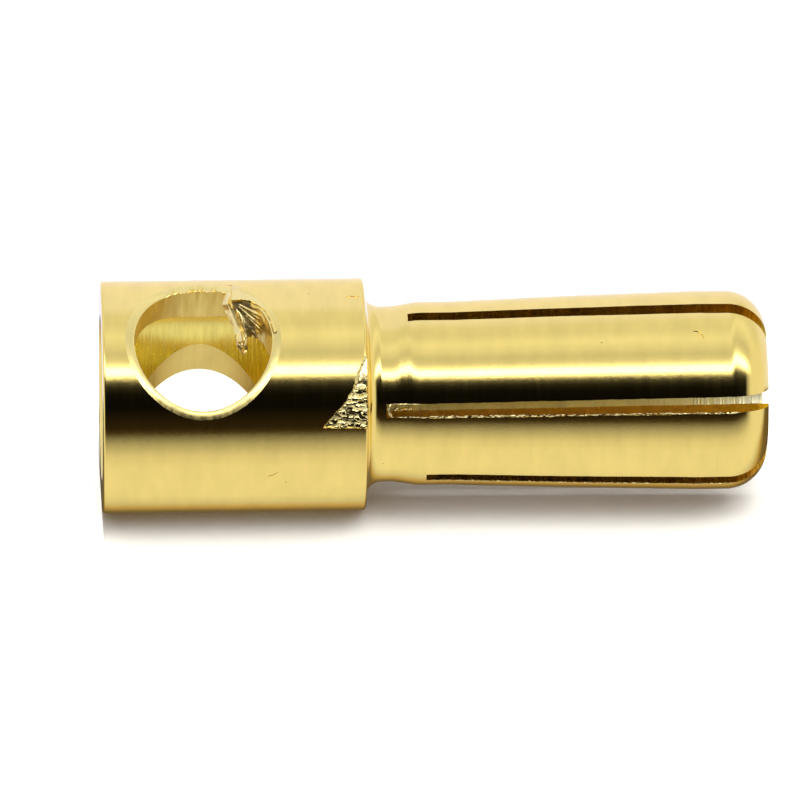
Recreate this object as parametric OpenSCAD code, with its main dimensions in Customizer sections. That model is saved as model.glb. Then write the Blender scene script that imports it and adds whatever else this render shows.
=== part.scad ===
// Bullet plug for a battery lead: one turned and gold-plated brass piece.
// It stands on its open barrel end. +Z runs up the axis to the rounded tip of the contact pin,
// and the origin is the centre of the barrel's open end face. The cross hole runs along Y.

/* [Barrel] */
// Outside diameter of the solder barrel
barrel_d = 5.85; // [5.6:0.05:6.4]
// Length of the barrel, from its open end to the shoulder
barrel_len = 6.62; // [6.2:0.02:6.8]
// Rounding of the barrel's two outside edges
barrel_edge = 0.07; // [0.03:0.01:0.15]
// Diameter of the wire cup drilled into the open end
cup_d = 4.0; // [3.8:0.05:4.2]
// Depth of the wire cup at its full diameter
cup_depth = 4.5; // [4.4:0.05:4.7]
// Chamfer at the mouth of the wire cup
cup_chamfer = 0.08; // [0.03:0.01:0.15]
// Included angle of the drill points that end both bores
drill_point = 118; // [100:1:140]

/* [Cross hole] */
// Diameter of the solder hole through the barrel's two walls
cross_d = 3.46; // [3.3:0.02:3.56]
// Height of the cross hole's axis above the open end
cross_z = 2.53; // [2.4:0.01:2.6]
// How far the cross hole was drilled off the barrel's axis
cross_off = 0.12; // [0:0.01:0.15]
// Width of the rolled edge round the cross hole's two mouths
rim_w = 0.2; // [0.1:0.01:0.22]
// Depth of that rolled edge below the barrel's surface
rim_depth = 0.08; // [0.05:0.01:0.12]

/* [Shoulder and neck] */
// Radius of the fillet between the shoulder and the neck
neck_fillet = 0.42; // [0.2:0.01:0.45]
// Diameter of the neck behind the contact pin
neck_d = 4.42; // [4.2:0.02:4.5]
// Height at which the neck starts to widen
neck_end = 7.35; // [7.2:0.01:7.5]

/* [Contact pin] */
// Overall length from the open end to the tip
total_len = 16.75; // [16.4:0.05:17.5]
// Diameter over the sprung fingers where they touch a socket
contact_d = 5.0; // [4.9:0.01:5.1]
// Diameter of the pin where its fingers start
root_d = 4.62; // [4.55:0.01:4.8]
// Height at which the root diameter is reached
root_start = 7.95; // [7.8:0.05:8.2]
// Height at which the fingers start to splay
splay_start = 8.8; // [8.5:0.1:9.5]
// Diameter halfway up the splayed fingers
mid_d = 4.82; // [4.75:0.01:4.88]
// Height at which that middle diameter is taken
mid_z = 11.56; // [11:0.02:12]
// Length of the straight land at the full contact diameter
land_len = 0.82; // [0.6:0.02:1.2]
// Radius of the rounded tip
tip_r = 1.03; // [0.8:0.01:1.1]
// Diameter of the bore up the middle of the pin
pin_bore_d = 2.76; // [2.6:0.02:2.8]
// Height of the pin bore's floor at its full diameter
pin_bore_z = 7.2; // [7:0.05:7.4]

/* [Finger slots] */
// Width of each saw cut at its root
slot_w = 0.34; // [0.25:0.01:0.4]
// Width of each saw cut at the tip, where the fingers stand apart
slot_w_tip = 0.42; // [0.34:0.01:0.5]
// Radius of the saw, which leaves a round floor in each cut
saw_r = 15; // [12:1:25]
// Direction, root height and sideways drift to the tip of the first cut
cut_a = [128.2, 6.95, 0.13];
// The same for the second cut
cut_b = [59.4, 7.53, -0.13];
// The same for the third cut
cut_c = [3.5, 7.96, -0.05];

/* [Marks] */
// Depth of the rough nick at the shoulder
nick_depth = 0.04; // [0.02:0.01:0.1]
// Thickness of the torn lip inside the cross hole
lip_t = 0.12; // [0.08:0.01:0.2]

/* [Hidden] */
$fn = 96;

R = barrel_d / 2;
cup_r = cup_d / 2;
cross_r = cross_d / 2;
land_top = total_len - tip_r;
land_z = land_top - land_len;
flat_r = contact_d / 2 - tip_r;
half_point = drill_point / 2;
// The marked side of the barrel faces this way round the axis
face_dir = -63.35;

// Half of the outside, from the axis outwards, as radius and height
module outline() {
    e = barrel_edge;
    difference() {
        union() {
            // barrel with two rounded corners
            square([R - e, barrel_len]);
            translate([0, e]) square([R, barrel_len - 2 * e]);
            for (z = [e, barrel_len - e]) translate([R - e, z]) circle(r = e);
            // block that the shoulder fillet is taken out of
            translate([0, barrel_len - 0.1]) square([neck_d / 2 + neck_fillet, neck_fillet + 0.1]);
            // neck, root, splayed fingers and straight land
            polygon([
                [0, barrel_len - 0.1], [neck_d / 2, barrel_len - 0.1], [neck_d / 2, neck_end],
                [root_d / 2, root_start], [root_d / 2, splay_start], [mid_d / 2, mid_z],
                [contact_d / 2, land_z], [contact_d / 2, land_top], [0, land_top]
            ]);
            // rounded tip with its flat end
            translate([0, land_top - 0.1]) square([flat_r, tip_r + 0.1]);
            translate([flat_r, land_top]) circle(r = tip_r);
        }
        translate([neck_d / 2 + neck_fillet, barrel_len + neck_fillet]) circle(r = neck_fillet);
        translate([-2 * tip_r, 0]) square([2 * tip_r, total_len + 1]);
    }
}

// Wire cup: bore, mouth chamfer and drill point
module wire_cup() {
    translate([0, 0, -1]) cylinder(r = cup_r, h = cup_depth + 1);
    translate([0, 0, cup_depth]) cylinder(r1 = cup_r, r2 = 0, h = cup_r / tan(half_point));
    translate([0, 0, -0.5]) cylinder(r1 = cup_r + cup_chamfer + 0.5, r2 = cup_r, h = cup_chamfer + 0.5);
}

// Bore up the contact pin, open at the tip
module pin_bore() {
    r = pin_bore_d / 2;
    translate([0, 0, pin_bore_z]) cylinder(r = r, h = total_len);
    translate([0, 0, pin_bore_z - r / tan(half_point)]) cylinder(r1 = 0, r2 = r, h = r / tan(half_point));
}

// Solder hole through both walls
module cross_hole() {
    translate([-cross_off, 0, cross_z]) rotate([90, 0, 0]) cylinder(r = cross_r, h = 2 * R + 2, center = true);
}

// Rolled edge at one mouth of the cross hole. It follows the barrel's curve,
// so it is a ring of small faces between three lines round the mouth.
rim_steps = 48;
function rim_point(a, w, d) =
    let(x = -cross_off + (cross_r + w) * sin(a), r = R - d)
    [x, -sqrt(r * r - x * x), cross_z + (cross_r + w) * cos(a)];
module rolled_rim() {
    // the ring starts inside the hole and ends outside the barrel, so it crosses both surfaces cleanly
    lines = [[-0.3, rim_depth * 2.2], [-0.3, -rim_depth * 0.9], [rim_w * 2.5, -rim_depth * 0.9],
             [rim_w * 0.5, rim_depth * 0.3], [-rim_w * 0.5, rim_depth * 1.7]];
    n = len(lines);
    pts = [for (i = [0:rim_steps - 1]) for (l = lines) rim_point(i * 360 / rim_steps, l[0], l[1])];
    faces = [for (i = [0:rim_steps - 1]) for (j = [0:n - 1])
        let(i2 = (i + 1) % rim_steps, j2 = (j + 1) % n)
        each [[i * n + j, i2 * n + j, i2 * n + j2], [i * n + j, i2 * n + j2, i * n + j2]]];
    polyhedron(points = pts, faces = faces, convexity = 6);
}

// One saw cut right across the pin, which parts two pairs of fingers
module saw_cut(c) {
    l = total_len - c[1] + 1;
    rotate([0, 0, c[0]]) intersection() {
        translate([0, 0, c[1] + saw_r]) rotate([90, 0, 0]) cylinder(r = saw_r, h = 3, center = true, $fn = 180);
        rotate([90, 0, 90]) linear_extrude(2 * R, center = true)
            polygon([[-slot_w / 2, c[1] - 0.5], [slot_w / 2, c[1] - 0.5],
                     [slot_w_tip / 2 + c[2], c[1] + l], [-slot_w_tip / 2 + c[2], c[1] + l]]);
    }
}

// Rough nick at the shoulder. Its outline is height above the open end against distance
// sideways, seen square on to the marked side.
module nick() {
    difference() {
        rotate([0, 0, face_dir]) rotate([90, 0, 90]) linear_extrude(2 * R)
            polygon([[-2.42, 6.24], [-1.99, 6.39], [-1.24, 6.45], [-0.86, 6.40], [-0.41, 6.30],
                     [0, 6.16], [0.35, 5.97], [0.60, 5.80], [0.86, 5.52], [0.87, 6.9], [-2.42, 6.9]]);
        cylinder(r = R - nick_depth, h = 2 * total_len, center = true);
    }
}

// Torn lip that the drill left inside the cross hole's mouth. A point is given by its angle round the
// hole, its distance from the hole's axis and its depth below the barrel's surface.
function lip_point(a, r, d) =
    let(x = -cross_off - r * sin(a), q = R - d)
    [x, -sqrt(q * q - x * x), cross_z + r * cos(a)];
module bead(a, r, d) { translate(lip_point(a, r, d)) sphere(d = lip_t, $fn = 14); }
module torn_lip() {
    w = cross_r + 0.05;
    // ridge from the mouth down to its curled end, and the fan of metal that backs it
    hull() { bead(63, 1.40, 0.10); bead(24, 1.08, 0.86); bead(62, w, 0.14); bead(40, w, 0.12); bead(30, w, 0.75); }
    hull() { bead(24, 1.08, 0.86); bead(12, 1.12, 0.95); bead(14, 1.28, 0.90); bead(30, w - 0.35, 0.75); }
    hull() { bead(24, 1.20, 0.80); bead(40, w, 0.12); bead(30, w, 0.75); bead(12, w, 0.14); bead(2, w, 0.30); bead(8, w, 0.70); }
}

module bullet_plug() {
    color("gold")
    difference() {
        union() {
            difference() {
                rotate_extrude($fn = 180) outline();
                wire_cup();
                cross_hole();
                rolled_rim();
                rotate([0, 0, 180]) mirror([1, 0, 0]) rolled_rim();
            }
            torn_lip();
        }
        pin_bore();
        saw_cut(cut_a);
        saw_cut(cut_b);
        saw_cut(cut_c);
        nick();
    }
}

bullet_plug();
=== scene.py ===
import math

import bmesh
import bpy
import numpy as np
from mathutils import Matrix, Vector

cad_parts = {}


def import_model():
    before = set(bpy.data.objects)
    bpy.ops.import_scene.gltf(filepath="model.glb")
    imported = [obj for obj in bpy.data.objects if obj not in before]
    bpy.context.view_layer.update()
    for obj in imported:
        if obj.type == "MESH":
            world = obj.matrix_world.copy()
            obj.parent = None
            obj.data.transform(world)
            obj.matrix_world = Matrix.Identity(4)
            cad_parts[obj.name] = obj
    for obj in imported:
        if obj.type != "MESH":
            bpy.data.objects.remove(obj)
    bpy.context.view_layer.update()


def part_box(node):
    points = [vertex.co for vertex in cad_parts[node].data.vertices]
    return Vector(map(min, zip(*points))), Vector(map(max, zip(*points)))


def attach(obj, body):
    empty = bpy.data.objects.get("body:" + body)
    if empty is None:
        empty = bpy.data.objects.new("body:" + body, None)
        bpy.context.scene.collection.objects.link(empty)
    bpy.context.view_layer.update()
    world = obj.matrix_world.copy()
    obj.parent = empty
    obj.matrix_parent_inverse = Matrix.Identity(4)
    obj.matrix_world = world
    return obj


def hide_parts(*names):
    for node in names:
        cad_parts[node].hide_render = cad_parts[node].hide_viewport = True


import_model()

# ------------------------------------------------------------------ sizes, in millimetres
low, high = [Vector(c) * 1000 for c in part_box("bullet_plug")]
R = min(high.x - low.x, high.y - low.y) / 2 - 0.0005   # barrel radius
LEN = high.z - low.z                    # overall length
BARREL, EDGE = 6.62, 0.07
CUP_R, CUP_DEPTH, CUP_CH = 2.0, 4.5, 0.08
POINT = math.tan(math.radians(59))      # drill point
CROSS_R, CROSS_Z, CROSS_OFF = 1.73, 2.53, 0.12
RIM_W, RIM_D = 0.225, 0.085
NECK_R, NECK_FILLET, NECK_END = 2.21, 0.42, 7.35
ROOT_R, ROOT_Z, SPLAY_Z, MID_R, MID_Z = 2.31, 7.95, 8.8, 2.41, 11.56
PIN_R, TIP_R, LAND = 2.5, 1.03, 0.82
BORE_R, BORE_Z = 1.38, 7.2
SLOT_W, SLOT_TIP, SAW_R = 0.34, 0.42, 15.0
CUTS = [(128.2, 6.95, 0.13), (59.4, 7.53, -0.13), (3.5, 7.96, -0.05)]
FACE = math.radians(-63.35)             # the marked side of the barrel faces this way
MM = 0.001

OUT = Vector((math.cos(FACE), math.sin(FACE), 0))          # towards the marked side
UP = Vector((math.sin(FACE), -math.cos(FACE), 0))          # across it


# ------------------------------------------------------------------ smooth repeatable noise
def lattice(seed, shape):
    return np.random.default_rng(seed).uniform(-1, 1, shape)


def noise2(u, v, seed, period=None):
    """Smooth value noise from -1 to 1 at u, v, wrapping in v after period cells."""
    grid = lattice(seed, (257, 257))
    u, v = np.asarray(u, float), np.asarray(v, float)
    ui, vi = np.floor(u).astype(int), np.floor(v).astype(int)
    fu, fv = u - ui, v - vi
    fu, fv = fu * fu * (3 - 2 * fu), fv * fv * (3 - 2 * fv)
    wrap = period or 257
    a, b = grid[ui % 257, vi % wrap], grid[(ui + 1) % 257, vi % wrap]
    c, d = grid[ui % 257, (vi + 1) % wrap], grid[(ui + 1) % 257, (vi + 1) % wrap]
    return (a * (1 - fu) + b * fu) * (1 - fv) + (c * (1 - fu) + d * fu) * fv


def fractal(u, v, seed, octaves=3):
    total, size = 0, 1.0
    for i in range(octaves):
        total = total + size * noise2(u * 2 ** i, v * 2 ** i, seed + i)
        size *= 0.5
    return total / 1.75


def step(x, a, b):
    t = np.clip((np.asarray(x, float) - a) / (b - a), 0, 1)
    return t * t * (3 - 2 * t)


# ------------------------------------------------------------------ materials
MATS = {}
GOLD = (0.90, 0.69, 0.215, 1)


def gold(name, color, roughness, marks, specks=0.0, blotch=0.04, edge=(1.0, 0.93, 0.74, 1)):
    """Gold plate. marks is a list of (scale across, scale along, detail, height in metres)."""
    m = bpy.data.materials.new(name)
    m.use_nodes = True
    nt = m.node_tree
    nodes, links = nt.nodes, nt.links
    nodes.clear()
    out = nodes.new("ShaderNodeOutputMaterial")
    b = nodes.new("ShaderNodeBsdfPrincipled")
    links.new(b.outputs["BSDF"], out.inputs["Surface"])
    b.inputs["Metallic"].default_value = 1.0
    b.inputs["Specular Tint"].default_value = edge
    coord = nodes.new("ShaderNodeTexCoord")

    def mapped(sx, sz):
        mp = nodes.new("ShaderNodeMapping")
        mp.inputs["Scale"].default_value = (sx, sx, sz)
        links.new(coord.outputs["Object"], mp.inputs["Vector"])
        return mp

    # colour: slow clouding of the plate and a few dark specks
    slow = nodes.new("ShaderNodeTexNoise")
    slow.inputs["Scale"].default_value = 1.0
    slow.inputs["Detail"].default_value = 4.0
    links.new(mapped(900, 2600).outputs["Vector"], slow.inputs["Vector"])
    ramp = nodes.new("ShaderNodeValToRGB")
    c = np.array(color[:3])
    ramp.color_ramp.elements[0].position, ramp.color_ramp.elements[1].position = 0.32, 0.68
    ramp.color_ramp.elements[0].color = (*(c * (1 - blotch)), 1)
    ramp.color_ramp.elements[1].color = (*np.minimum(c * (1 + blotch), 1.0), 1)
    links.new(slow.outputs["Fac"], ramp.inputs["Fac"])
    base = ramp.outputs["Color"]
    if specks:
        cell = nodes.new("ShaderNodeTexVoronoi")
        cell.inputs["Scale"].default_value = 1.0
        cell.inputs["Randomness"].default_value = 1.0
        links.new(mapped(2400, 2400).outputs["Vector"], cell.inputs["Vector"])
        small = nodes.new("ShaderNodeMapRange")
        small.inputs["From Min"].default_value, small.inputs["From Max"].default_value = specks, specks * 2.0
        small.inputs["To Min"].default_value, small.inputs["To Max"].default_value = 1.0, 0.0
        links.new(cell.outputs["Distance"], small.inputs["Value"])
        few = nodes.new("ShaderNodeTexNoise")
        few.inputs["Scale"].default_value = 1.0
        few.inputs["Detail"].default_value = 1.0
        links.new(mapped(1700, 1700).outputs["Vector"], few.inputs["Vector"])
        gate = nodes.new("ShaderNodeMapRange")
        gate.inputs["From Min"].default_value, gate.inputs["From Max"].default_value = 0.60, 0.66
        links.new(few.outputs["Fac"], gate.inputs["Value"])
        both = nodes.new("ShaderNodeMath")
        both.operation = "MULTIPLY"
        links.new(small.outputs["Result"], both.inputs[0])
        links.new(gate.outputs["Result"], both.inputs[1])
        mix = nodes.new("ShaderNodeMix")
        mix.data_type = "RGBA"
        links.new(both.outputs["Value"], mix.inputs["Factor"])
        links.new(base, mix.inputs["A"])
        mix.inputs["B"].default_value = (0.10, 0.055, 0.015, 1)
        base = mix.outputs["Result"]
    links.new(base, b.inputs["Base Color"])

    # roughness: patches of brighter and duller plate
    patch = nodes.new("ShaderNodeTexNoise")
    patch.inputs["Scale"].default_value = 1.0
    patch.inputs["Detail"].default_value = 3.0
    links.new(mapped(700, 9000).outputs["Vector"], patch.inputs["Vector"])
    rr = nodes.new("ShaderNodeMapRange")
    rr.inputs["From Min"].default_value, rr.inputs["From Max"].default_value = 0.3, 0.7
    rr.inputs["To Min"].default_value, rr.inputs["To Max"].default_value = roughness * 0.75, roughness * 1.3
    links.new(patch.outputs["Fac"], rr.inputs["Value"])
    links.new(rr.outputs["Result"], b.inputs["Roughness"])

    # bump: tool marks, each layer finer along one direction than across it
    previous = None
    for sx, sz, detail, height in marks:
        n = nodes.new("ShaderNodeTexNoise")
        n.inputs["Scale"].default_value = 1.0
        n.inputs["Detail"].default_value = detail
        links.new(mapped(sx, sz).outputs["Vector"], n.inputs["Vector"])
        bump = nodes.new("ShaderNodeBump")
        bump.inputs["Strength"].default_value = 1.0
        bump.inputs["Distance"].default_value = height
        links.new(n.outputs["Fac"], bump.inputs["Height"])
        if previous:
            links.new(previous.outputs["Normal"], bump.inputs["Normal"])
        previous = bump
    if previous:
        links.new(previous.outputs["Normal"], b.inputs["Normal"])
    MATS[name] = m
    return m


gold("gold_turned", GOLD, 0.10,
     [(70, 12000, 3.0, 1.6e-6), (500, 30000, 2.0, 0.25e-6), (10000, 10000, 2.0, 0.8e-6)], specks=0.035)
gold("gold_cup", (0.90, 0.745, 0.20, 1), 0.27,
     [(200, 14000, 2.0, 12e-6), (2500, 5000, 3.0, 1e-6)], blotch=0.07)
gold("gold_drilled", (0.86, 0.66, 0.21, 1), 0.34,
     [(9000, 9000, 3.0, 1.0e-6)], blotch=0.05)
gold("gold_sawn", (0.90, 0.66, 0.13, 1), 0.24,
     [(2500, 14000, 3.0, 7e-6)], specks=0.06, blotch=0.12, edge=(0.62, 0.36, 0.06, 1))
gold("gold_rough", (0.88, 0.74, 0.34, 1), 0.17,
     [(14000, 14000, 1.0, 0.6e-6)], specks=0.05, blotch=0.10)
gold("gold_rim", (0.92, 0.74, 0.28, 1), 0.20,
     [(6000, 6000, 3.0, 1.0e-6)], blotch=0.04)
# painted light: a near-white copy of the gold for the pin's bore, its pale colour standing in for the light that
# reaches the bore through the slots
gold("gold_pin_bore_painted_light", (1.0, 0.94, 0.66, 1), 0.40,
     [(200, 16000, 2.0, 12e-6)], blotch=0.08)
# painted reflection: a near-white copy of the gold for the shoulder's fillet, its pale colour standing in for the pale
# reflection seen there
gold("gold_fillet_painted_reflection", (1.0, 0.95, 0.78, 1), 0.18,
     [(70, 14000, 3.0, 2.0e-6)], blotch=0.03)
gold("gold_torn", (0.90, 0.72, 0.33, 1), 0.30,
     [(16000, 16000, 2.0, 0.8e-6)], blotch=0.08)
# painted highlight: a paler copy of the gold for the lip's strip, the burrs and two curls, so that they show brighter
# than the plate
gold("gold_bright_painted_highlight", (0.96, 0.80, 0.40, 1), 0.24,
     [(12000, 12000, 2.0, 0.6e-6)], blotch=0.03)
ORDER = ["gold_turned", "gold_cup", "gold_drilled", "gold_sawn", "gold_rough", "gold_rim", "gold_pin_bore_painted_light", "gold_torn",
         "gold_bright_painted_highlight", "gold_fillet_painted_reflection"]
TURNED, CUP, DRILLED, SAWN, ROUGH, RIM, PIN_BORE, TORN, BRIGHT, FILLET = range(10)


# ------------------------------------------------------------------ mesh helpers
def make(name, verts, faces, mats):
    me = bpy.data.meshes.new(name)
    me.from_pydata([tuple(v) for v in np.asarray(verts) * MM], [], [tuple(int(i) for i in f) for f in faces])
    for n in ORDER:
        me.materials.append(MATS[n])
    me.polygons.foreach_set("material_index", np.asarray(mats, np.int32))
    me.update()
    o = bpy.data.objects.new(name, me)
    bpy.context.scene.collection.objects.link(o)
    bm = bmesh.new()
    bm.from_mesh(me)
    bmesh.ops.recalc_face_normals(bm, faces=bm.faces)
    if bm.calc_volume(signed=True) < 0:
        bmesh.ops.reverse_faces(bm, faces=bm.faces)
    bm.to_mesh(me)
    bm.free()
    return o


def grid_faces(rows, cols, wrap_cols=False, offset=0):
    """Quads of a grid of rows by cols points, row by row."""
    f = []
    for i in range(rows - 1):
        for j in range(cols if wrap_cols else cols - 1):
            k = (j + 1) % cols
            f.append((offset + i * cols + j, offset + i * cols + k, offset + (i + 1) * cols + k, offset + (i + 1) * cols + j))
    return f


def box_grid(lower, upper):
    """A closed shell between two grids of the same size, joined along their four sides."""
    n, m = lower.shape[:2]
    v = np.concatenate([lower.reshape(-1, 3), upper.reshape(-1, 3)])
    o = n * m
    f = [q[::-1] for q in grid_faces(n, m)] + grid_faces(n, m, offset=o)
    ring = [(0, j) for j in range(m)] + [(i, m - 1) for i in range(1, n)] + [(n - 1, j) for j in range(m - 2, -1, -1)] + [(i, 0) for i in range(n - 2, 0, -1)]
    ids = [i * m + j for i, j in ring]
    for a, b in zip(ids, ids[1:] + ids[:1]):
        f.append((a, b, b + o, a + o))
    return v, f


def revolve(name, profile, n, jitter=None):
    """profile is a list of (radius, height, material of the band that follows). Its ends are on the axis."""
    verts, faces, mats, rings = [], [], [], []
    ang = np.linspace(0, 2 * np.pi, n, endpoint=False)
    for r, z, _ in profile:
        if r < 1e-9:
            rings.append([len(verts)])
            verts.append((0, 0, z))
        else:
            rings.append(list(range(len(verts), len(verts) + n)))
            verts.extend(zip(r * np.cos(ang), r * np.sin(ang), [z] * n))
    for k in range(len(profile) - 1):
        a, b = rings[k], rings[k + 1]
        for j in range(n):
            i = (j + 1) % n
            if len(a) == 1:
                faces.append((a[0], b[i], b[j]))
            elif len(b) == 1:
                faces.append((a[j], a[i], b[0]))
            else:
                faces.append((a[j], a[i], b[i], b[j]))
            mats.append(profile[k][2])
    return make(name, verts, faces, mats)


def tube(name, path, radii, mat, sides=8, seed=0, rough=0.25):
    """A closed irregular thread of metal along a path, for burrs and curls."""
    path = np.asarray(path, float)
    t = np.gradient(path, axis=0)
    t /= np.linalg.norm(t, axis=1)[:, None] + 1e-12
    ref = np.array([0.31, 0.22, 0.93])
    verts, faces = [], []
    for i, (p, d, r) in enumerate(zip(path, t, radii)):
        u = np.cross(d, ref)
        u /= np.linalg.norm(u)
        w = np.cross(d, u)
        for j in range(sides):
            a = 2 * math.pi * j / sides
            k = r * (1 + rough * float(noise2(i * 0.9, j, seed, sides)))
            verts.append(p + k * (math.cos(a) * u + math.sin(a) * w))
    faces = grid_faces(len(path), sides, wrap_cols=True)
    faces.append(tuple(range(sides))[::-1])
    faces.append(tuple((len(path) - 1) * sides + j for j in range(sides)))
    return make(name, verts, faces, [mat] * len(faces))


def boolean(target, tool, operation):
    mod = target.modifiers.new("b", "BOOLEAN")
    mod.operation, mod.object, mod.solver = operation, tool, "MANIFOLD"
    bpy.context.view_layer.objects.active = target
    before = len(target.data.polygons)
    bpy.ops.object.modifier_apply(modifier=mod.name)
    print("boolean", tool.name, operation, before, "->", len(target.data.polygons))
    old = tool.data
    bpy.data.objects.remove(tool)
    bpy.data.meshes.remove(old)


def arc(cr, cz, radius, a0, a1, n, mat):
    return [(cr + radius * math.cos(a), cz + radius * math.sin(a), mat) for a in np.radians(np.linspace(a0, a1, n))]


def line(p, q, pitch, mat):
    """Points from p up to, but not including, q."""
    d = math.dist(p, q)
    n = max(1, math.ceil(d / pitch))
    return [(p[0] + (q[0] - p[0]) * i / n, p[1] + (q[1] - p[1]) * i / n, mat) for i in range(n)]


# ------------------------------------------------------------------ the turned blank, with both bores
def blank():
    top = LEN - TIP_R
    flat = PIN_R - TIP_R
    p = [(0, CUP_DEPTH + CUP_R / POINT, CUP)]
    p += line((CUP_R * 0.5, CUP_DEPTH + CUP_R * 0.5 / POINT), (CUP_R, CUP_DEPTH), 0.5, CUP)
    p += line((CUP_R, CUP_DEPTH), (CUP_R, CUP_CH), 0.45, CUP)
    p += [(CUP_R, CUP_CH, RIM), (CUP_R + CUP_CH, 0, TURNED), (2.5, 0, TURNED)]
    p += arc(R - EDGE, EDGE, EDGE, -90, 0, 14, TURNED)
    p += line((R, EDGE + 0.02), (R, BARREL - EDGE - 0.02), 0.4, TURNED)
    p += arc(R - EDGE, BARREL - EDGE, EDGE, 0, 90, 14, TURNED)
    # the shoulder and the fillet's first steps take the near-white gold: painted reflection
    p += [((R + NECK_R + NECK_FILLET) / 2, BARREL, FILLET)]
    p += [(r, z, FILLET if i < 8 else TURNED)
          for i, (r, z, _) in enumerate(arc(NECK_R + NECK_FILLET, BARREL + NECK_FILLET, NECK_FILLET, -90, -180, 22, TURNED))]
    # neck and ramp meet in soft corners
    p += [(NECK_R, 7.1, TURNED), (NECK_R, 7.25, TURNED), (NECK_R + 0.006, 7.34, TURNED), (NECK_R + 0.028, 7.5, TURNED),
          (NECK_R + 0.062, 7.7, TURNED), (NECK_R + 0.09, 7.87, TURNED), (ROOT_R - 0.003, 7.98, TURNED), (ROOT_R, 8.1, TURNED),
          (ROOT_R, 8.45, TURNED)]
    p += line((ROOT_R, SPLAY_Z), (MID_R, MID_Z), 0.5, TURNED)
    p += line((MID_R, MID_Z), (PIN_R, top - LAND), 0.5, TURNED)
    p += line((PIN_R, top - LAND), (PIN_R, top - 0.05), 0.4, TURNED)
    p += arc(flat, top, TIP_R, 0, 90, 30, TURNED)
    # the pin's bore takes the near-white gold: painted light
    p += [(BORE_R + 0.02, LEN, RIM), (BORE_R, LEN - 0.02, PIN_BORE)]
    p += line((BORE_R, LEN - 0.3), (BORE_R, BORE_Z), 0.5, PIN_BORE)
    p += [(BORE_R, BORE_Z, PIN_BORE), (BORE_R * 0.5, BORE_Z - BORE_R * 0.5 / POINT, PIN_BORE), (0, BORE_Z - BORE_R / POINT, PIN_BORE)]
    return revolve("bullet_plug_body", p, 320)


body = blank()


# ------------------------------------------------------------------ cutters
def cross_cutter():
    n = 200
    ys = np.linspace(-R - 0.6, R + 0.6, 25)
    ang = np.linspace(0, 2 * np.pi, n, endpoint=False)
    v = [(-CROSS_OFF + CROSS_R * math.sin(a), y, CROSS_Z + CROSS_R * math.cos(a)) for y in ys for a in ang]
    f = grid_faces(len(ys), n, wrap_cols=True)
    f.append(tuple(range(n))[::-1])
    f.append(tuple((len(ys) - 1) * n + j for j in range(n)))
    return make("cut_cross", v, f, [DRILLED] * len(f))


def rim_cutter(side):
    """The rolled edge of one mouth: a ring that follows the barrel's curve. side is -1 for the torn mouth."""
    n = 400 if side < 0 else 240
    ang = np.linspace(0, 2 * np.pi, n, endpoint=False)
    deg = np.degrees(ang)
    seed = 11 if side < 0 else 31
    wob = noise2(deg / 360 * 90, np.zeros(n), seed)
    fine = noise2(deg / 360 * 250, np.zeros(n) + 3, seed + 1)
    # the torn mouth's rolled edge is ragged towards -X and -Z
    ragged = np.zeros(n)
    if side < 0:
        ragged = step(deg, 232, 246) * (1 - step(deg, 283, 298))
    w = RIM_W * (1 + 0.012 * wob) + ragged * (0.035 * wob + 0.035 * fine - 0.02)
    d = RIM_D * (1 + 0.015 * wob) + ragged * (0.04 * fine + 0.02 * wob)
    rows = []
    # from inside the hole, round the rolled edge, to outside the barrel
    for fw, fd in [(-0.75, 2.4), (-0.25, 1.45), (0.06, 0.86), (0.2, 0.66), (0.45, 0.42), (0.72, 0.20), (0.92, 0.05), (1.08, -0.08), (1.8, -0.9)]:
        x = -CROSS_OFF + (CROSS_R + w * fw) * np.sin(ang)
        rr = R - d * fd
        rows.append(np.stack([x, side * np.sqrt(rr * rr - x * x), CROSS_Z + (CROSS_R + w * fw) * np.cos(ang)], 1))
    for fw, out in [(1.8, 0.3), (-0.75, 0.3)]:
        x = -CROSS_OFF + (CROSS_R + RIM_W * fw) * np.sin(ang)
        rr = R + out
        rows.append(np.stack([x, side * np.sqrt(rr * rr - x * x), CROSS_Z + (CROSS_R + RIM_W * fw) * np.cos(ang)], 1))
    v = np.concatenate(rows)
    m = len(rows)
    f = []
    for i in range(m):
        k = (i + 1) % m
        for j in range(n):
            l = (j + 1) % n
            f.append((i * n + j, i * n + l, k * n + l, k * n + j))
    return make("cut_rim", v, f, [RIM] * len(f))


def saw_cutter(index, cut):
    """One saw cut across the pin. Its two walls are ragged, most of all near the root."""
    deg, z0, drift = cut
    a = math.radians(deg)
    d, t = np.array([math.cos(a), math.sin(a), 0]), np.array([-math.sin(a), math.cos(a), 0])
    ss = np.concatenate([np.linspace(-2.9, -1.2, 15), np.linspace(-0.8, 0.8, 3), np.linspace(1.2, 2.9, 15)])
    us = np.concatenate([np.linspace(0, 0.25, 54)[:-1], np.linspace(0.25, 1, 90)])
    s, u = np.meshgrid(ss, us)
    floor = z0 + SAW_R - np.sqrt(SAW_R ** 2 - s ** 2)
    z = floor + (LEN + 0.4 - floor) * u
    k = (z - z0 + 0.5) / (LEN + 1 - z0 + 0.5)
    half = (SLOT_W + (SLOT_TIP - SLOT_W) * k) / 2
    mid = drift * k
    near_root = 1 + 2.2 * np.exp(-(z - floor) / 0.35)
    walls = []
    for side, seed in ((-1, 60 + 7 * index), (1, 90 + 7 * index)):
        r = fractal(z / 0.16, s / 0.5 + 9, seed, 3) * 0.007 * near_root
        r = r + noise2(z / 0.9, s / 2.0, seed + 3) * 0.006
        off = mid + side * half + side * r
        walls.append(s[..., None] * d + off[..., None] * t + z[..., None] * np.array([0, 0, 1.0]))
    v, f = box_grid(walls[0], walls[1])
    return make("cut_saw", v, f, [SAWN] * len(f))


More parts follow.
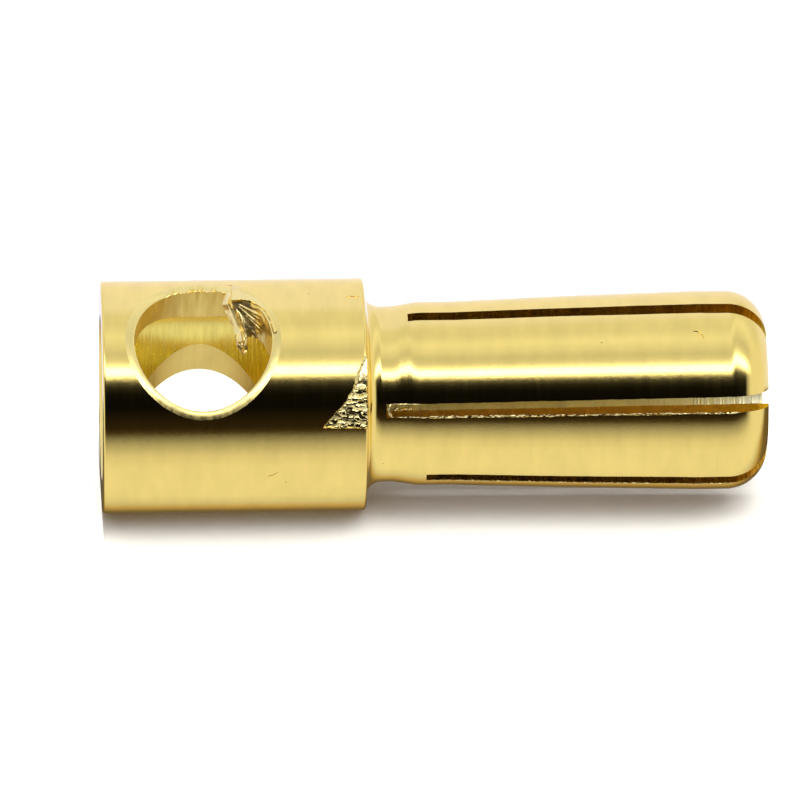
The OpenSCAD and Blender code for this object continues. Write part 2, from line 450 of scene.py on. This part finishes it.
boolean(body, cross_cutter(), "DIFFERENCE")
boolean(body, rim_cutter(-1), "DIFFERENCE")
boolean(body, rim_cutter(1), "DIFFERENCE")
for i, c in enumerate(CUTS):
    boolean(body, saw_cutter(i, c), "DIFFERENCE")


# ------------------------------------------------------------------ marks on the marked side
def at(x, y, s):
    """A point given as it lies on the marked side: x along the object and y across it, in fortieths of a
    millimetre from a corner, and s, its distance in front of the axis, in millimetres."""
    x, y, s = (np.asarray(q, float) for q in np.broadcast_arrays(x, y, s))
    k = 39.7 * 450 / (450 - s)
    z = 7.5315 + (x - 400) / k - math.tan(math.radians(2.1)) * s
    v = -0.1637 + (400 - y - 0.0125 * (x - 400)) / k
    return np.stack([s * OUT.x + v * UP.x, s * OUT.y + v * UP.y, z], -1)


def front(x, y, radius):
    """How far in front of the axis a cylinder of that radius lies at x, y."""
    s = np.full(np.broadcast(x, y).shape, 2.0)
    for _ in range(4):
        v = -0.1637 + (400 - y - 0.0125 * (x - 400)) / (39.7 * 450 / (450 - s))
        s = np.sqrt(np.maximum(radius ** 2 - v ** 2, 0.01))
    return s


def torn_lip():
    """The torn flap at the upper right of the cross hole's marked mouth: a strip that hangs down into the
    hole, and a fan of smeared metal from it round to the hole's side."""
    us = np.array([0, .06, .12, .145, .3, .5, .65, .8, .9, 1.0])
    #        along       across      sunk below the barrel, or distance in front of the axis
    rows = [
        ([226, 229.5, 233, 234, 243, 253, 261, 270, 276, 280], [288, 287.5, 287, 287, 289, 292, 297, 305, 315.5, 330], [.10] * 10, None),
        ([226.5, 229.5, 232.3, 233.4, 243, 252.5, 260, 268.5, 273.8, 277.8], [291.5, 291, 290.8, 290, 292, 295.5, 300, 308.5, 317.5, 331], [.08, .05, .05, .004, .004, .004, .004, .004, .004, .004], None),
        ([225.2, 229, 232, 233, 243, 252.8, 260, 268, 273.2, 276.6], [297, 296, 296, 295, 295.5, 298.5, 302.5, 309.8, 319, 331.8], [.11, .05, .07, .004, .004, .003, .003, .003, .003, .004], None),
        ([223.6, 228, 231.6, 232.6, 243, 253, 260, 267.6, 272.6, 275.6], [303, 302, 301.2, 300.2, 298.9, 301, 305, 311, 320.5, 332.5], [.12, .04, .10, .012, .006, .004, .003, .003, .004, .006], None),
        ([224, 228.5, 232.2, 233.3, 242.6, 252, 258.6, 265.6, 270.2, 273.2], [305, 304.5, 304, 302.6, 301.2, 303.4, 306.6, 312.9, 322, 334], [.14, .05, .13, .10, .09, .09, .08, .08, .08, .09], None),
        ([226.6, 231.4, 235.8, 237, 244.6, 253, 259, 265.5, 269.8, 273], [312, 311.4, 310.8, 310, 308.6, 310, 313, 320, 329, 340], None, [1.68, 1.78, 1.66, 1.52, 1.54, 1.61, 1.72, 1.90, 2.12, 2.37]),
        ([231.6, 236.2, 240, 241.2, 247, 254.4, 259.8, 265.5, 269.6, 272.8], [323.5, 322, 320.6, 319.6, 317.5, 318.5, 321, 328, 336.5, 346], None, [1.78, 1.88, 1.76, 1.54, 1.52, 1.57, 1.66, 1.82, 2.04, 2.31]),
        ([236, 241, 244.8, 245.6, 250, 256, 261, 266, 269.8, 272.6], [334, 332, 330.4, 329.6, 327.5, 329, 332, 339, 346.5, 354], None, [1.88, 1.97, 1.86, 1.56, 1.50, 1.52, 1.60, 1.73, 1.96, 2.24]),
        ([239, 243.5, 246.8, 247.6, 251.5, 257, 262.3, 267, 270.2, 272.4], [341.5, 341, 339, 337, 336, 338, 342.5, 350, 356, 361], None, [1.95, 2.03, 1.92, 1.58, 1.48, 1.49, 1.54, 1.66, 1.88, 2.16]),
    ]
    nu, per = 120, 10
    u = np.linspace(0, 1, nu)
    X, Y, S = [], [], []
    for xs, ys, sunk, out in rows:
        x, y = np.interp(u, us, xs), np.interp(u, us, ys)
        X.append(x)
        Y.append(y)
        S.append(np.interp(u, us, out) if sunk is None else front(x, y, R - np.interp(u, us, sunk)))
    X, Y, S = (np.array(q) for q in (X, Y, S))
    t = np.arange(len(rows))
    tt = np.linspace(0, len(rows) - 1, (len(rows) - 1) * per + 1)
    X, Y, S = (np.stack([np.interp(tt, t, q[:, j]) for j in range(nu)], 1) for q in (X, Y, S))
    # soften the joints between rows without moving the outer ones
    for _ in range(6):
        S[1:-1] = (S[:-2] + 2 * S[1:-1] + S[2:]) / 4
    inside = step(tt, 3.6, 5.2)[:, None] * np.ones_like(X)
    U = np.broadcast_to(u, X.shape)
    # lines that fan out from the top of the strip
    dx, dy = X - 232.7, Y - 300.6
    theta, rad = np.degrees(np.arctan2(dy, dx)), np.hypot(dx, dy)
    fan = (noise2(theta / 4.2, rad / 60, 201) * 0.6 + noise2(theta / 2.0, rad / 40, 202) * 0.4) * np.clip(rad / 14, 0, 1.4)
    fan *= step(U, .13, .17) * (1 - step(U, .62, .78)) * step(tt, 4.0, 4.8)[:, None]
    # folds that run down beside the hole's side
    fold = noise2((X - 0.38 * (Y - 305)) / 3.0, Y / 40, 205) * step(U, .58, .72) * inside
    grain = fractal(X / 2.2, Y / 2.2, 207) * inside
    lines = noise2((U * 10), tt[:, None] * 0.22, 209) * (1 - step(U, .11, .13)) * inside
    lipline = fractal(X / 4.5, Y / 4.5, 211) * (1 - inside) * step(tt, 1.4, 2.4)[:, None]
    S = S + fan * 0.026 + fold * 0.045 + grain * 0.006 + lines * 0.012 - np.abs(lipline) * 0.012
    # ragged lower edge
    Y = Y + np.maximum(0, tt[:, None] - 7) * (noise2(U * 26, U * 0, 213) * 1.6 + noise2(U * 60, U * 0, 214) * 0.8)
    top = at(X, Y, S)
    # back of the sheet: pushed away from the mouth and out into the wall
    thick = 0.06 + 0.16 * (1 - step(tt, 4.5, 7.5))[:, None] + 0.10 * step(U, .6, .95)
    bottom = at(X + thick * 26 * step(U, .1, .9) * 0.6, Y - thick * 20, S - thick)
    v, f = box_grid(bottom, top)
    quads = (len(tt) - 1) * (nu - 1)
    strip = np.broadcast_to(u[:-1] < 0.125, (len(tt) - 1, nu - 1)).reshape(-1)
    edge = (np.broadcast_to(u[:-1] >= 0.125, (len(tt) - 1, nu - 1)) & (tt[:-1] < 3.9)[:, None]).reshape(-1)
    mats = np.full(len(f), TORN)
    # the strip takes the paler gold: painted highlight
    mats[quads:2 * quads] = np.where(strip, BRIGHT, np.where(edge, RIM, TORN))
    return make("torn_lip", v, f, mats)


def curl(points, radii, seed, mat=TORN):
    """A loose thread of metal through those points."""
    pts = np.array([at(*q) for q in points])
    t = np.linspace(0, len(pts) - 1, len(pts) * 7)
    smooth = np.stack([np.interp(t, np.arange(len(pts)), pts[:, k]) for k in range(3)], 1)
    for _ in range(4):
        smooth[1:-1] = (smooth[:-2] + 2 * smooth[1:-1] + smooth[2:]) / 4
    return tube("curl", smooth, np.interp(t, np.linspace(0, len(pts) - 1, len(radii)), radii), mat, 8, seed)


def cells(u, v, seed):
    """Distance to the nearest and second nearest of one random point per unit cell, and that cell's own number."""
    grid = lattice(seed, (64, 64, 3)) * 0.5 + 0.5
    best = np.full(u.shape, 9.0)
    second = np.full(u.shape, 9.0)
    tag = np.zeros(u.shape)
    iu, iv = np.floor(u).astype(int), np.floor(v).astype(int)
    for a in (-1, 0, 1):
        for b in (-1, 0, 1):
            c = grid[(iu + a) % 64, (iv + b) % 64]
            d = np.hypot(iu + a + c[..., 0] - u, iv + b + c[..., 1] - v)
            closer = d < best
            second = np.where(closer, best, np.minimum(second, d))
            tag = np.where(closer, c[..., 2], tag)
            best = np.where(closer, d, best)
    return best, second, tag


def scar_cutter():
    """The torn place at the shoulder: smooth above, with a steep side, and granular below."""
    nx, ny = 120, 184
    X, Y = np.meshgrid(np.linspace(318, 376, nx), np.linspace(343, 433, ny))
    left = np.interp(Y, [343, 352, 358, 362, 372, 380, 386, 391, 397, 403, 409, 415, 421, 426, 429],
                     [369, 367.0, 364.5, 362.5, 357.6, 355.4, 354.2, 352.2, 349.0, 345.0, 339.2, 333.6, 328.0, 323.6, 322.6])
    left = left + noise2(Y / 3.1, Y * 0, 301) * 0.9 * step(Y, 384, 392) + noise2(Y / 1.3, Y * 0 + 5, 302) * 0.4
    bottom = 428.3 + noise2(X / 9, X * 0, 303) * 0.3
    inside = np.minimum((X - left) / 1.1, (bottom - Y) / 0.7)
    granular = step(Y + 0.15 * (X - 355), 387.0, 389.5)
    d1, d2, tag = cells(X / 6.2, Y / 5.0, 311)
    e1, e2, _ = cells(X / 3.4 + 7, Y / 3.0 + 3, 312)
    grains = 0.75 * (1 - np.clip(d1 / 0.8, 0, 1) ** 2) * (0.35 + 0.85 * tag) + 0.12 * (1 - np.clip(e1 / 0.7, 0, 1) ** 2)
    rough = 0.074 - 0.072 * grains + 0.008 * fractal(X / 9, Y / 9, 313)
    # above, a scoop: a steep side on the left that eases out towards the shoulder
    along = np.clip((X - left) / np.maximum(369 - left, 1), 0, 1)
    smooth = 0.075 * step(X - left, -0.5, 3.2) * (1 - 0.45 * along) + 0.004 * fractal(X / 5, Y / 7, 314)
    depth = np.where(inside > 0, granular * rough + (1 - granular) * smooth, -0.012)
    depth = np.where(inside > 0, np.minimum(depth, 0.02 + inside * 0.10), np.maximum(inside, -1.5) * 0.01 - 0.002)
    # the lump at the foot of the smooth part
    lump = np.exp(-(((X - 361.5) / 4.2) ** 2 + ((Y - 388.2) / 2.0) ** 2))
    depth = depth - 0.035 * lump * (inside > 0)
    r = R - depth
    S = front(X, Y, r)
    lower = at(X, Y, S)
    upper = at(X, Y, front(X, Y, R + 0.12))
    v, f = box_grid(lower, upper)
    return make("cut_scar", v, f, [ROUGH] * len(f))


def scratch_cutter(points, width, depth, radius=R):
    """A fine scratch along the points, each given as at() takes its first two numbers."""
    pts = np.array(points, float)
    n = max(4, int(sum(np.hypot(*(pts[i + 1] - pts[i])) for i in range(len(pts) - 1)) / 1.2))
    t = np.linspace(0, len(pts) - 1, n)
    c = np.stack([np.interp(t, np.arange(len(pts)), pts[:, k]) for k in (0, 1)], 1)
    g = np.gradient(c, axis=0)
    g /= np.linalg.norm(g, axis=1)[:, None]
    side = np.stack([-g[:, 1], g[:, 0]], 1)
    taper = np.sin(np.pi * (np.arange(n) + 0.5) / n) ** 0.5
    rad = radius if np.ndim(radius) else np.full(n, radius)
    verts = []
    for off, dep in ((-1, -0.03), (0, 1), (1, -0.03)):
        q = c + side * (off * width / 2 * (0.4 + 0.6 * taper))[:, None]
        rr = rad - (depth * taper if dep == 1 else -0.004)
        verts.append(at(q[:, 0], q[:, 1], front(q[:, 0], q[:, 1], rr)))
    for off in (1, -1):
        q = c + side * (off * width / 2)
        verts.append(at(q[:, 0], q[:, 1], front(q[:, 0], q[:, 1], rad + 0.06)))
    ring = np.stack(verts, 1).reshape(-1, 3)
    m = len(verts)
    f = grid_faces(n, m, wrap_cols=True)
    f.append(tuple(range(m))[::-1])
    f.append(tuple((n - 1) * m + j for j in range(m)))
    return make("cut_scratch", ring, f, [TURNED] * len(f))


boolean(body, scar_cutter(), "DIFFERENCE")
boolean(body, scratch_cutter([(347.5, 297.0), (352, 296.2), (360.5, 296.8)], 1.1, 0.016), "DIFFERENCE")
boolean(body, scratch_cutter([(266.5, 476.5), (272, 475), (277.5, 472)], 0.8, 0.008), "DIFFERENCE")
boolean(body, scratch_cutter([(694, 331), (699, 331.5), (703, 334), (705, 339)], 0.9, 0.008, 2.478), "DIFFERENCE")
boolean(body, torn_lip(), "UNION")
boolean(body, curl([(237.5, 335, 1.92), (238.6, 343, 1.95), (241.0, 350, 1.92), (244.0, 355, 1.88), (246.8, 350, 1.86), (247.0, 343, 1.88)], [.035, .05, .045, .03], 5), "UNION")
boolean(body, curl([(245.0, 333, 1.90), (247.0, 339, 1.90), (245.6, 346, 1.96), (242.6, 347, 2.0), (241.8, 341, 2.0)], [.03, .045, .04, .025], 6), "UNION")


def slot_edge(cut, side, z):
    """Where one wall of a cut meets the outside of the pin, on the marked side. side is -1 or 1."""
    deg, z0, drift = cut
    a = math.radians(deg)
    d, t = np.array([math.cos(a), math.sin(a), 0]), np.array([-math.sin(a), math.cos(a), 0])
    if d @ np.array(OUT) < 0:
        d = -d
    k = (z - z0 + 0.5) / (LEN + 1 - z0 + 0.5)
    off = drift * k + side * (SLOT_W + (SLOT_TIP - SLOT_W) * k) / 2
    r = np.interp(z, [7.1, 7.34, 7.7, 7.98, 8.45, SPLAY_Z, MID_Z, LEN - TIP_R - LAND, LEN - TIP_R, LEN - TIP_R + 0.3],
                  [NECK_R, NECK_R + .006, NECK_R + .062, ROOT_R - .003, ROOT_R, ROOT_R, MID_R, PIN_R, PIN_R, PIN_R - 0.045])
    return np.sqrt(r ** 2 - off ** 2)[:, None] * d + off[:, None] * t + z[:, None] * np.array([0, 0, 1.0])


def burr(cut, side, z_from, z_to, size, seed):
    z = np.arange(z_from, z_to, 0.03)
    path = slot_edge(cut, side, z)
    a = math.radians(cut[0])
    t = np.array([-math.sin(a), math.cos(a), 0])
    w = noise2(z / 0.11, z * 0, seed) * 0.6 + noise2(z / 0.5, z * 0, seed + 1) * 0.6
    path = path + t * (side * -0.35 * size)
    ends = np.clip(np.minimum(z - z_from, z_to - z) / 0.15, 0.25, 1)
    # the burr takes the paler gold: painted highlight
    return tube("burr", path, size * (1 + 0.7 * w) * ends, BRIGHT, 7, seed + 2, 0.35)


def lower_side(cut):
    a = math.radians(cut[0])
    return -1 if np.array([-math.sin(a), math.cos(a), 0]) @ np.array(UP) > 0 else 1


LOW = lower_side(CUTS[0])
boolean(body, burr(CUTS[0], LOW, 7.35, 16.0, 0.021, 400), "UNION")
boolean(body, burr(CUTS[0], -LOW, 7.22, 8.0, 0.020, 410), "UNION")
boolean(body, burr(CUTS[2], lower_side(CUTS[2]), 8.3, 15.9, 0.012, 420), "UNION")
# the two curls at the slot's end take the paler gold: painted highlight
boolean(body, curl([(391.5, 404, 2.19), (388.6, 407, 2.17), (388.2, 411, 2.15), (390, 415, 2.12), (394, 418, 2.10)], [.02, .035, .03, .03, .015], 7, BRIGHT), "UNION")
boolean(body, curl([(391, 410.5, 2.08), (396, 409.0, 2.10), (402, 409.6, 2.08), (408, 408.6, 2.07), (414, 409.4, 2.0)], [.02, .05, .035, .045, .02], 8, BRIGHT), "UNION")


def finish_shading(o, angle=11):
    bm = bmesh.new()
    bm.from_mesh(o.data)
    bmesh.ops.remove_doubles(bm, verts=bm.verts, dist=1e-8)
    for f in bm.faces:
        f.smooth = True
    lim = math.radians(angle)
    for e in bm.edges:
        e.smooth = len(e.link_faces) == 2 and e.calc_face_angle(0) < lim
    bm.to_mesh(o.data)
    bm.free()


finish_shading(body)
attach(body, "root")
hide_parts("bullet_plug")


# ------------------------------------------------------------------ camera
SCALE = 39.7                            # the 800-pixel view shows this many pixels to the millimetre
DIST = 0.450
tip_up = math.atan(0.0125)
lean = math.radians(-2.1)
back = (OUT * math.cos(lean) + Vector((0, 0, 1)) * math.sin(lean)).normalized()
x0 = (Vector((0, 0, 1)) - back * back.z).normalized()
y0 = back.cross(x0)
x_cam = x0 * math.cos(tip_up) - y0 * math.sin(tip_up)
y_cam = x0 * math.sin(tip_up) + y0 * math.cos(tip_up)
aim = Vector((0, 0, (400 - 101) / SCALE * MM)) - y0 * (6.5 / SCALE * MM)
cam_data = bpy.data.cameras.new("camera")
cam = bpy.data.objects.new("camera", cam_data)
bpy.context.scene.collection.objects.link(cam)
cam_data.sensor_width = 36
cam_data.lens = 18 / ((400 / SCALE * MM) / DIST)
cam_data.clip_start, cam_data.clip_end = 0.02, 5
cam.matrix_world = Matrix.Translation(aim + back * DIST) @ Matrix((x_cam, y_cam, back)).transposed().to_4x4()
bpy.context.scene.camera = cam


# ------------------------------------------------------------------ floor and backdrop
def stage_material(name, color, glow):
    """Pale matt sheet that shows on its face only."""
    m = bpy.data.materials.new(name)
    m.use_nodes = True
    nt = m.node_tree
    nodes, links = nt.nodes, nt.links
    nodes.clear()
    out = nodes.new("ShaderNodeOutputMaterial")
    diff = nodes.new("ShaderNodeBsdfDiffuse")
    diff.inputs["Color"].default_value = color
    glowing = nodes.new("ShaderNodeEmission")
    glowing.inputs["Color"].default_value = (1, 1, 1, 1)
    glowing.inputs["Strength"].default_value = glow
    add = nodes.new("ShaderNodeAddShader")
    links.new(diff.outputs[0], add.inputs[0])
    links.new(glowing.outputs[0], add.inputs[1])
    clear = nodes.new("ShaderNodeBsdfTransparent")
    geo = nodes.new("ShaderNodeNewGeometry")
    mix = nodes.new("ShaderNodeMixShader")
    links.new(geo.outputs["Backfacing"], mix.inputs[0])
    links.new(add.outputs[0], mix.inputs[1])
    links.new(clear.outputs[0], mix.inputs[2])
    links.new(mix.outputs[0], out.inputs["Surface"])
    return m


def sheet(name, centre, u, v, half, mat):
    me = bpy.data.meshes.new(name)
    c, u, v = Vector(centre), Vector(u) * half, Vector(v) * half
    me.from_pydata([tuple(c - u - v), tuple(c + u - v), tuple(c + u + v), tuple(c - u + v)], [], [(0, 1, 2, 3)])
    me.materials.append(mat)
    o = bpy.data.objects.new(name, me)
    bpy.context.scene.collection.objects.link(o)
    return o


floor = sheet("floor", (0, 0, 0), (1, 0, 0), (0, 1, 0), 0.6, stage_material("floor_matt", (0.85, 0.85, 0.85, 1), 0.3))
TILT = math.radians(22)
SKY = 4.7
normal = UP * math.cos(TILT) + OUT * math.sin(TILT)
along = OUT * math.cos(TILT) - UP * math.sin(TILT)
wall = sheet("backdrop", tuple(normal * (-(R + 0.01) * MM)), along, (0, 0, 1), 0.6,
             stage_material("backdrop_matt", (0.88, 0.88, 0.88, 1), 0.006))
if wall.data.polygons[0].normal.dot(normal) < 0:
    wall.data.flip_normals()
wall.visible_glossy = False
floor.visible_glossy = False


# ------------------------------------------------------------------ soft studio light all round, with one dark side
def world():
    w = bpy.data.worlds.new("studio")
    bpy.context.scene.world = w
    w.use_nodes = True
    nt = w.node_tree
    nodes, links = nt.nodes, nt.links
    nodes.clear()
    out = nodes.new("ShaderNodeOutputWorld")
    bg = nodes.new("ShaderNodeBackground")
    coord = nodes.new("ShaderNodeTexCoord")

    def dot(d):
        n = nodes.new("ShaderNodeVectorMath")
        n.operation = "DOT_PRODUCT"
        n.inputs[1].default_value = tuple(d)
        links.new(coord.outputs["Generated"], n.inputs[0])
        return n.outputs["Value"]

    def maths(op, a, b=None, clamp=False):
        n = nodes.new("ShaderNodeMath")
        n.operation = op
        n.use_clamp = clamp
        for i, x in enumerate((a, b)):
            if x is None:
                continue
            if isinstance(x, (int, float)):
                n.inputs[i].default_value = x
            else:
                links.new(x, n.inputs[i])
        return n.outputs["Value"]

    angle = maths("ARCTAN2", dot(UP), dot(OUT))
    end = maths("ABSOLUTE", dot((0, 0, 1)))
    lean_in = nodes.new("ShaderNodeMapRange")
    lean_in.interpolation_type = "SMOOTHSTEP"
    lean_in.inputs["From Min"].default_value, lean_in.inputs["From Max"].default_value = 0.12, 0.36
    lean_in.inputs["To Min"].default_value, lean_in.inputs["To Max"].default_value = 1.0, 0.67
    links.new(end, lean_in.inputs["Value"])
    wide = maths("ADD", maths("MINIMUM", angle, 0), maths("MULTIPLY", maths("MAXIMUM", angle, 0), lean_in.outputs["Result"]))
    place = maths("ADD", maths("DIVIDE", wide, 2 * math.pi), 0.5)
    TOP = 4.0
    stops = [(-180, .10), (-158, .18), (-145, .46), (-132, .74), (-118, .92), (-100, .95), (-75, .93), (-62, .80),
             (-50, .50), (-46, .37), (-41, .20), (-37, .05), (-33, .022), (-12, .004), (2, .005), (9, .02),
             (14.5, .10), (18, .9), (22, 4), (27, 4), (31, 1.3), (36, .84), (43, .73), (52, .90), (62, 1.03), (76, .86), (88, .88), (99, 1.0),
             (165, 1.05)]
    ramp = nodes.new("ShaderNodeValToRGB")
    els = ramp.color_ramp.elements
    ramp.color_ramp.interpolation = "LINEAR"
    while len(els) > 1:
        els.remove(els[-1])
    for k, (a, s) in enumerate(stops):
        e = els[0] if k == 0 else els.new((a + 180) / 360)
        e.position = (a + 180) / 360
        warm = np.array([1.0, 1.0, 1.0])
        if s < 0.1:
            warm = np.array([0.9, 0.85, 0.8]) if a > -24 else np.array([1.3, 0.9, 0.5])
        elif a > 95:
            warm = np.array([0.97, 1.0, 1.3])
        elif a > 30:
            warm = np.array([0.98, 1.01, 1.06])
        elif a < -140:
            warm = np.array([1.25, 0.95, 0.5])
        e.color = (*(warm * s / TOP), 1)
    links.new(place, ramp.inputs["Fac"])
    lit = nodes.new("ShaderNodeVectorMath")
    lit.operation = "SCALE"
    lit.inputs["Scale"].default_value = TOP
    links.new(ramp.outputs["Color"], lit.inputs[0])

    # beyond both ends of the object the room is evenly pale
    far = nodes.new("ShaderNodeMapRange")
    far.interpolation_type = "SMOOTHSTEP"
    far.inputs["From Min"].default_value, far.inputs["From Max"].default_value = 0.74, 0.93
    links.new(end, far.inputs["Value"])
    mix = nodes.new("ShaderNodeMix")
    mix.data_type = "RGBA"
    links.new(far.outputs["Result"], mix.inputs["Factor"])
    links.new(lit.outputs["Vector"], mix.inputs["A"])
    mix.inputs["B"].default_value = (0.95, 0.95, 0.95, 1)

    # matt surfaces are lit evenly from one side, so that the shadow under the object stays close and soft
    path = nodes.new("ShaderNodeLightPath")
    toward = nodes.new("ShaderNodeMapRange")
    toward.interpolation_type = "SMOOTHSTEP"
    toward.inputs["From Min"].default_value, toward.inputs["From Max"].default_value = -0.35, 0.35
    toward.inputs["To Min"].default_value, toward.inputs["To Max"].default_value = 0.1, SKY
    links.new(dot(OUT * math.cos(TILT) - UP * math.sin(TILT)), toward.inputs["Value"])
    high = nodes.new("ShaderNodeMapRange")
    high.interpolation_type = "SMOOTHSTEP"
    high.inputs["From Min"].default_value, high.inputs["From Max"].default_value = 0.45, 0.9
    high.inputs["To Min"].default_value, high.inputs["To Max"].default_value = 0.22, 1.7
    links.new(dot(UP * math.cos(TILT) + OUT * math.sin(TILT)), high.inputs["Value"])
    sky = maths("MULTIPLY", toward.outputs["Result"], high.outputs["Result"])
    grey = nodes.new("ShaderNodeCombineColor")
    for i, tint in enumerate((1.0, 0.965, 0.88)):
        links.new(maths("MULTIPLY", sky, tint), grey.inputs[i])
    matt = nodes.new("ShaderNodeMix")
    matt.data_type = "RGBA"
    links.new(path.outputs["Is Diffuse Ray"], matt.inputs["Factor"])
    links.new(grey.outputs["Color"], matt.inputs["B"])
    # light that reaches a matt surface off the gold is weaker, since the gold there faces the shaded floor
    shaded = nodes.new("ShaderNodeMix")
    shaded.data_type = "RGBA"
    shaded.blend_type = "MULTIPLY"
    links.new(maths("MINIMUM", path.outputs["Diffuse Depth"], 1), shaded.inputs["Factor"])
    links.new(mix.outputs["Result"], shaded.inputs["A"])
    shaded.inputs["B"].default_value = (0.34, 0.25, 0.12, 1)
    links.new(shaded.outputs["Result"], matt.inputs["A"])
    # the empty background itself is plain white
    seen = nodes.new("ShaderNodeMix")
    seen.data_type = "RGBA"
    links.new(path.outputs["Is Camera Ray"], seen.inputs["Factor"])
    links.new(matt.outputs["Result"], seen.inputs["A"])
    seen.inputs["B"].default_value = (1, 1, 1, 1)
    links.new(seen.outputs["Result"], bg.inputs["Color"])
    links.new(bg.outputs["Background"], out.inputs["Surface"])


world()
bpy.context.scene.view_settings.view_transform = "Standard"
